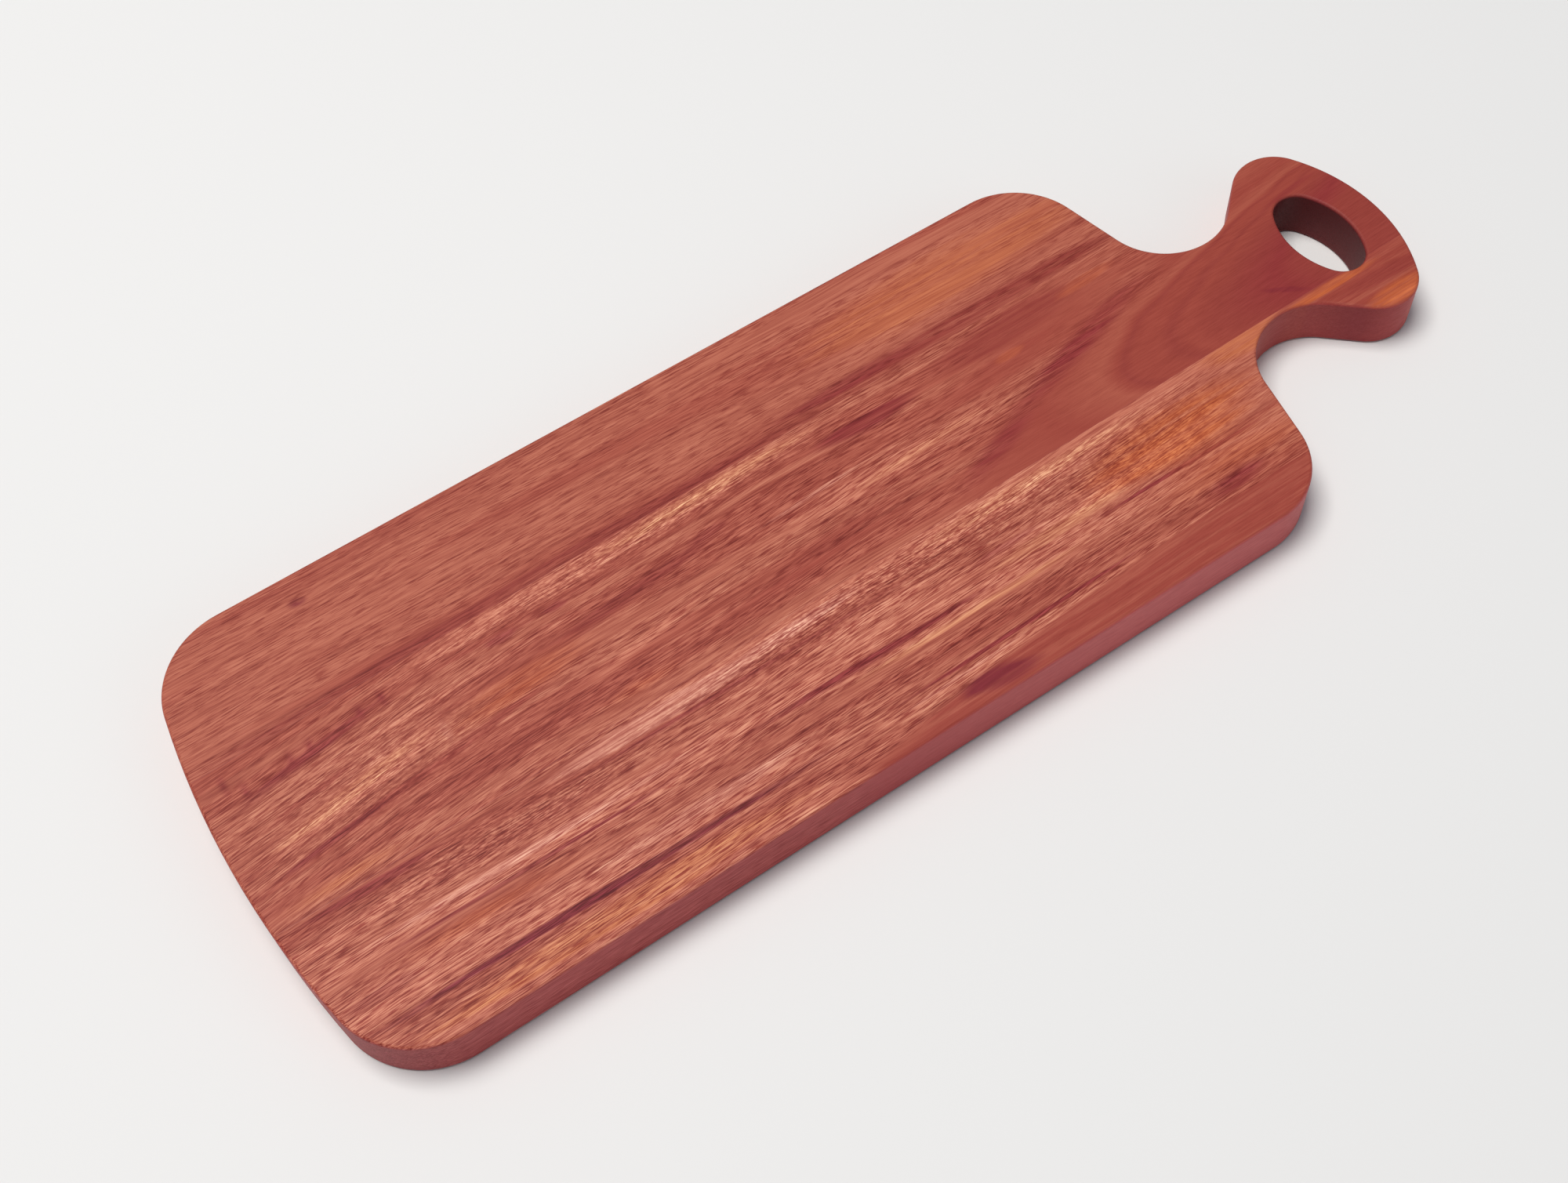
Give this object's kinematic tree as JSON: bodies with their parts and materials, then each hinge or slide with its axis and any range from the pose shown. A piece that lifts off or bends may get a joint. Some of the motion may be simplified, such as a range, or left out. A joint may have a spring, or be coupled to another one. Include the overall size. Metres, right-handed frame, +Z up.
{
  "type": "paddle serving board",
  "caption": "Long flat wooden paddle for serving food, glued up from lengthwise staves, with a bowed end, rounded shoulders and a flared handle with an oval hand hole.",
  "frame": {"origin": "under the middle of the board, on the face it lies on", "axes": "+X along the board to the tip of the handle, +Y across it to the far side, +Z up through its thickness"},
  "size_m": [0.45, 0.168, 0.019],
  "materials": {
    "far_wood": "oiled, satin",
    "centre_wood": "oiled, satin",
    "near_wood": "oiled, satin",
    "glue": "dried wood glue, flush with the wood"
  },
  "bodies": {
    "root": {"far_stave": "far_wood", "centre_stave": "centre_wood", "near_stave": "near_wood", "far_glue_line": "glue", "near_glue_line": "glue", "tip_glue_line": "glue"}
  },
  "joints": []
}
